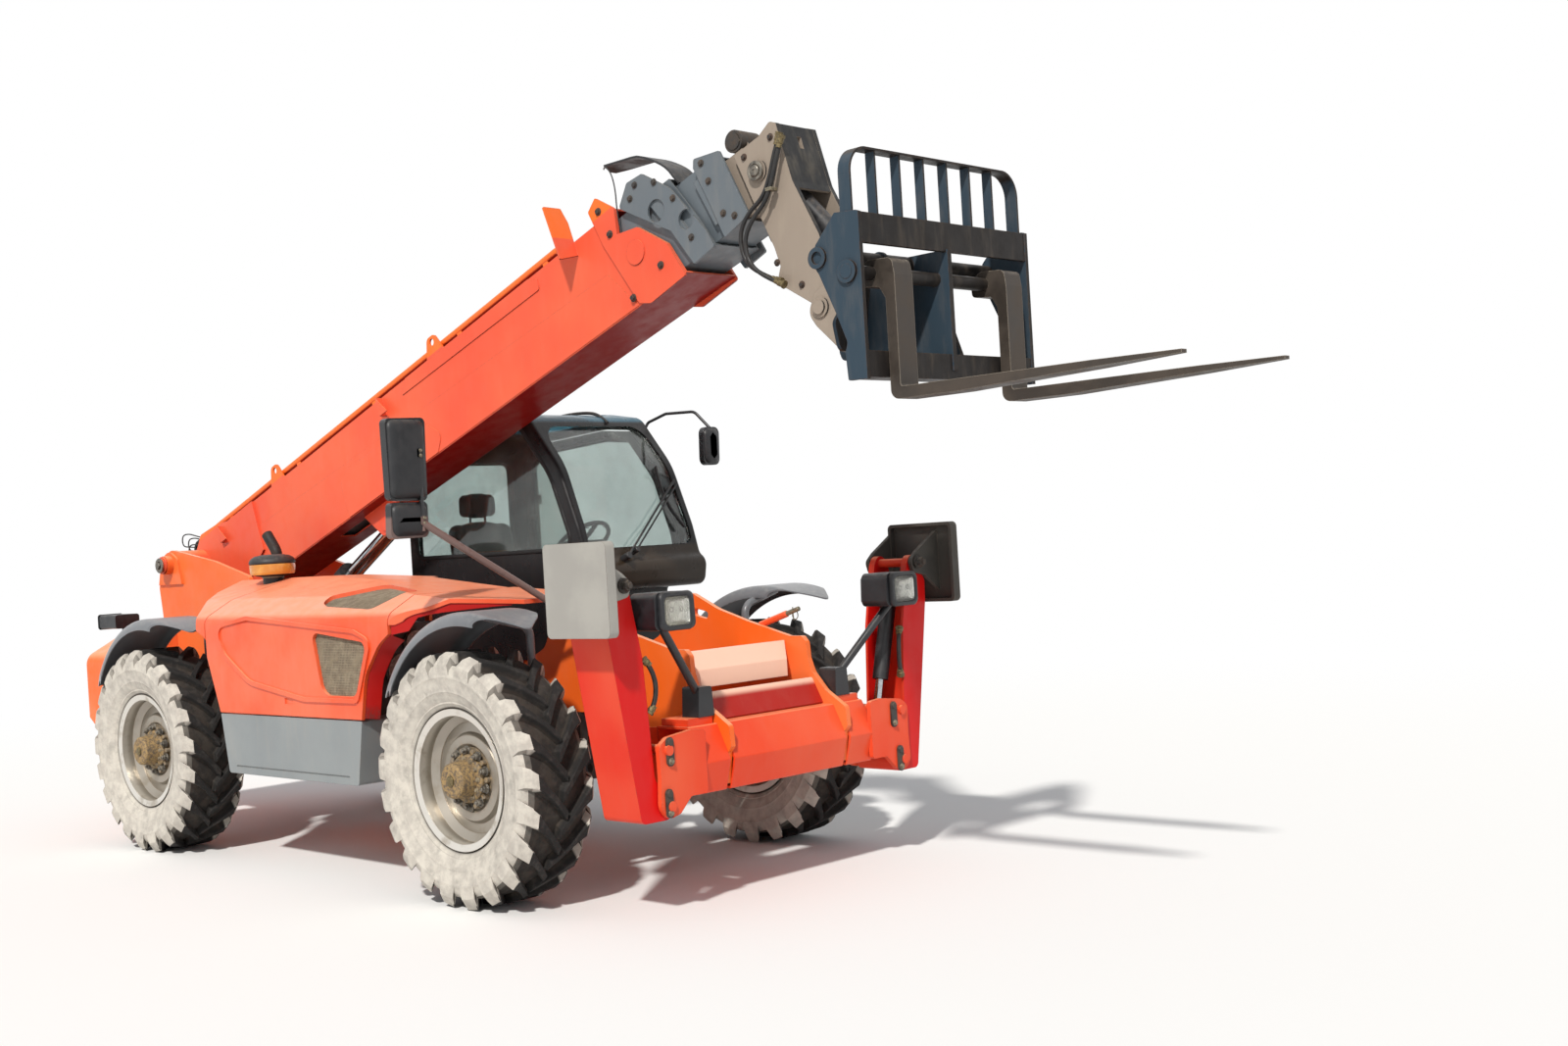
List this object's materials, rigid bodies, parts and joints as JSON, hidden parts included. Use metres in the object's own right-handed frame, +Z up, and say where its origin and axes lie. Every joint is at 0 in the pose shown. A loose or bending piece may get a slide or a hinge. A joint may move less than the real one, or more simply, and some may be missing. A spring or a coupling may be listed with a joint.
{
  "type": "telescopic handler",
  "caption": "Telescopic handler with a four-section boom, pallet forks, front stabilisers, side cab and four steered wheels.",
  "frame": {"origin": "on the ground midway between the axles and between the wheels", "axes": "+X forward along the forks, +Y to the driver's left, +Z up"},
  "size_m": [7.696, 2.7557, 3.5921],
  "materials": {
    "red_paint": "satin",
    "section_red": "satin",
    "hitch_grey": "matt",
    "carriage_grey": "matt",
    "fork_steel": "worn",
    "dark_steel": "matt",
    "tank_grey": "satin",
    "engine_grey": "matt",
    "mudguard_plastic": "satin",
    "rim_silver": "satin",
    "tyre_rubber": "matt",
    "cab_charcoal": "satin",
    "window_glass": "clear",
    "seat_black": "matt",
    "trim_black": "satin",
    "grille_beige": "matt",
    "exhaust_black": "matt",
    "cylinder_black": "satin",
    "rod_chrome": "polished",
    "leg_red": "satin",
    "pad_grey": "matt"
  },
  "bodies": {
    "chassis": {"chassis_frame": "red_paint", "counterweight": "red_paint", "stabiliser_beam": "red_paint", "front_cover": "dark_steel", "engine_block": "engine_grey", "tank_box": "tank_grey", "transmission": "dark_steel", "left_step": "tank_grey", "body_panels": "red_paint", "front_axle": "dark_steel", "rear_axle": "dark_steel", "cab_shell": "cab_charcoal", "cab_glass": "window_glass", "seat": "seat_black", "console": "trim_black", "mirrors": "trim_black", "lamps": "trim_black", "air_precleaner": "trim_black", "exhaust_stack": "exhaust_black"},
    "hub_front_left": {"knuckle_front_left": "dark_steel", "mudguard_front_left": "mudguard_plastic"},
    "wheel_front_left": {"rim_front_left": "rim_silver", "tyre_front_left": "tyre_rubber"},
    "hub_front_right": {"knuckle_front_right": "dark_steel", "mudguard_front_right": "mudguard_plastic"},
    "wheel_front_right": {"rim_front_right": "rim_silver", "tyre_front_right": "tyre_rubber"},
    "hub_rear_left": {"knuckle_rear_left": "dark_steel", "mudguard_rear_left": "mudguard_plastic"},
    "wheel_rear_left": {"rim_rear_left": "rim_silver", "tyre_rear_left": "tyre_rubber"},
    "hub_rear_right": {"knuckle_rear_right": "dark_steel", "mudguard_rear_right": "mudguard_plastic"},
    "wheel_rear_right": {"rim_rear_right": "rim_silver", "tyre_rear_right": "tyre_rubber"},
    "boom": {"boom_base": "red_paint"},
    "section_2": {"boom_section_2": "section_red"},
    "section_3": {"boom_section_3": "section_red"},
    "head": {"boom_head": "section_red"},
    "lift_barrel": {"lift_cylinder_barrel": "cylinder_black"},
    "lift_rod": {"lift_cylinder_rod": "rod_chrome"},
    "tilt_barrel": {"tilt_cylinder_barrel": "cylinder_black"},
    "tilt_rod": {"tilt_cylinder_rod": "rod_chrome"},
    "carriage": {"quick_hitch": "hitch_grey", "fork_carriage": "carriage_grey"},
    "fork_left": {"fork_left": "fork_steel"},
    "fork_right": {"fork_right": "fork_steel"},
    "engine_hood": {"engine_hood": "red_paint", "hood_grilles": "grille_beige"},
    "cab_door": {"cab_door": "cab_charcoal", "cab_door_glass": "window_glass"},
    "leg_left": {"stabiliser_leg_left": "leg_red"},
    "pad_left": {"stabiliser_pad_left": "pad_grey"},
    "leg_barrel_left": {"stabiliser_barrel_left": "cylinder_black"},
    "leg_rod_left": {"stabiliser_rod_left": "rod_chrome"},
    "leg_right": {"stabiliser_leg_right": "leg_red"},
    "pad_right": {"stabiliser_pad_right": "pad_grey"},
    "leg_barrel_right": {"stabiliser_barrel_right": "cylinder_black"},
    "leg_rod_right": {"stabiliser_rod_right": "rod_chrome"}
  },
  "joints": [
    {"name": "boom_lift", "type": "hinge", "parent": "chassis", "child": "boom", "pos_m": [-2.4, 0, 1.732], "axis": [0, -1, 0], "range_deg": [-21.2, 50.8]},
    {"name": "boom_extend", "type": "slide", "parent": "boom", "child": "section_2", "axis": [0.9444, 0, 0.3289], "range_m": [0, 3.4]},
    {"name": "section_3_extend", "type": "slide", "parent": "section_2", "child": "section_3", "axis": [0.9444, 0, 0.3289], "range_m": [0, 3.4]},
    {"name": "section_4_extend", "type": "slide", "parent": "section_3", "child": "head", "axis": [0.9444, 0, 0.3289], "range_m": [0, 3.4]},
    {"name": "carriage_tilt", "type": "hinge", "parent": "head", "child": "carriage", "pos_m": [3.10135, 0, 2.67359], "axis": [0, 1, 0], "range_deg": [-31, 90]},
    {"name": "lift_cylinder_swing", "type": "hinge", "parent": "chassis", "child": "lift_barrel", "pos_m": [-2, 0, 0.98], "axis": [0, -1, 0], "range_deg": [-20, 47]},
    {"name": "lift_cylinder_stroke", "type": "slide", "parent": "lift_barrel", "child": "lift_rod", "axis": [0.8699, 0, 0.4933], "range_m": [-0.295, 0.7]},
    {"name": "tilt_cylinder_swing", "type": "hinge", "parent": "head", "child": "tilt_barrel", "pos_m": [2.74885, 0, 3.35136], "axis": [0, 1, 0], "range_deg": [-3, 7]},
    {"name": "tilt_cylinder_stroke", "type": "slide", "parent": "tilt_barrel", "child": "tilt_rod", "axis": [0.6745, 0, -0.7383], "range_m": [-0.092, 0.262]},
    {"name": "steer_front_left", "type": "hinge", "parent": "chassis", "child": "hub_front_left", "pos_m": [1.535, 0.78, 0.612], "axis": [0, 0, 1], "range_deg": [-33, 33]},
    {"name": "spin_front_left", "type": "hinge", "parent": "hub_front_left", "child": "wheel_front_left", "pos_m": [1.535, 1.01, 0.612], "axis": [0, 1, 0], "continuous": true},
    {"name": "steer_front_right", "type": "hinge", "parent": "chassis", "child": "hub_front_right", "pos_m": [1.535, -0.78, 0.612], "axis": [0, 0, 1], "range_deg": [-33, 33]},
    {"name": "spin_front_right", "type": "hinge", "parent": "hub_front_right", "child": "wheel_front_right", "pos_m": [1.535, -1.01, 0.612], "axis": [0, 1, 0], "continuous": true},
    {"name": "steer_rear_left", "type": "hinge", "parent": "chassis", "child": "hub_rear_left", "pos_m": [-1.535, 0.78, 0.612], "axis": [0, 0, 1], "range_deg": [-33, 33]},
    {"name": "spin_rear_left", "type": "hinge", "parent": "hub_rear_left", "child": "wheel_rear_left", "pos_m": [-1.535, 1.01, 0.612], "axis": [0, 1, 0], "continuous": true},
    {"name": "steer_rear_right", "type": "hinge", "parent": "chassis", "child": "hub_rear_right", "pos_m": [-1.535, -0.78, 0.612], "axis": [0, 0, 1], "range_deg": [-33, 33]},
    {"name": "spin_rear_right", "type": "hinge", "parent": "hub_rear_right", "child": "wheel_rear_right", "pos_m": [-1.535, -1.01, 0.612], "axis": [0, 1, 0], "continuous": true},
    {"name": "cab_door_hinge", "type": "hinge", "parent": "chassis", "child": "cab_door", "pos_m": [-0.53, 1.186, 1.6], "axis": [0, 0, 1], "range_deg": [0, 80]},
    {"name": "engine_hood_hinge", "type": "hinge", "parent": "chassis", "child": "engine_hood", "pos_m": [0, -0.277, 1.545], "axis": [-1, 0, 0], "range_deg": [0, 55]},
    {"name": "leg_left", "type": "hinge", "parent": "chassis", "child": "leg_left", "pos_m": [2.48, 0.832, 0.517], "axis": [-1, 0, 0], "range_deg": [0, 100]},
    {"name": "leg_barrel_swing_left", "type": "hinge", "parent": "leg_left", "child": "leg_barrel_left", "pos_m": [2.48, 0.992, 1.367], "axis": [-1, 0, 0], "range_deg": [0, 14]},
    {"name": "leg_rod_stroke_left", "type": "slide", "parent": "leg_barrel_left", "child": "leg_rod_left", "axis": [0, -0.2569, -0.9664], "range_m": [0, 0.33]},
    {"name": "pad_left", "type": "hinge", "parent": "leg_left", "child": "pad_left", "pos_m": [2.48, 1.04, 1.5], "axis": [-1, 0, 0], "range_deg": [-15, 15]},
    {"name": "fork_slide_left", "type": "slide", "parent": "carriage", "child": "fork_left", "axis": [0, 1, 0], "range_m": [-0.28, 0.115]},
    {"name": "leg_right", "type": "hinge", "parent": "chassis", "child": "leg_right", "pos_m": [2.48, -0.832, 0.517], "axis": [1, 0, 0], "range_deg": [0, 100]},
    {"name": "leg_barrel_swing_right", "type": "hinge", "parent": "leg_right", "child": "leg_barrel_right", "pos_m": [2.48, -0.992, 1.367], "axis": [1, 0, 0], "range_deg": [0, 14]},
    {"name": "leg_rod_stroke_right", "type": "slide", "parent": "leg_barrel_right", "child": "leg_rod_right", "axis": [0, 0.2569, -0.9664], "range_m": [0, 0.33]},
    {"name": "pad_right", "type": "hinge", "parent": "leg_right", "child": "pad_right", "pos_m": [2.48, -1.04, 1.5], "axis": [1, 0, 0], "range_deg": [-15, 15]},
    {"name": "fork_slide_right", "type": "slide", "parent": "carriage", "child": "fork_right", "axis": [0, -1, 0], "range_m": [-0.28, 0.115]}
  ],
  "couplings": [
    {"joint": "section_3_extend", "follows": "boom_extend", "ratio": 1},
    {"joint": "section_4_extend", "follows": "boom_extend", "ratio": 1},
    {"joint": "lift_cylinder_swing", "follows": "boom_lift", "ratio": 0.8987},
    {"joint": "lift_cylinder_stroke", "follows": "boom_lift", "m_per_rad": 0.7856},
    {"joint": "tilt_cylinder_swing", "follows": "carriage_tilt", "ratio": 0.06456},
    {"joint": "tilt_cylinder_stroke", "follows": "carriage_tilt", "m_per_rad": 0.16434},
    {"joint": "steer_front_right", "follows": "steer_front_left", "ratio": 1},
    {"joint": "steer_rear_right", "follows": "steer_rear_left", "ratio": 1},
    {"joint": "leg_barrel_swing_left", "follows": "leg_left", "ratio": 0.13541},
    {"joint": "leg_rod_stroke_left", "follows": "leg_left", "m_per_rad": 0.1877},
    {"joint": "leg_barrel_swing_right", "follows": "leg_right", "ratio": 0.13541},
    {"joint": "leg_rod_stroke_right", "follows": "leg_right", "m_per_rad": 0.1877}
  ]
}
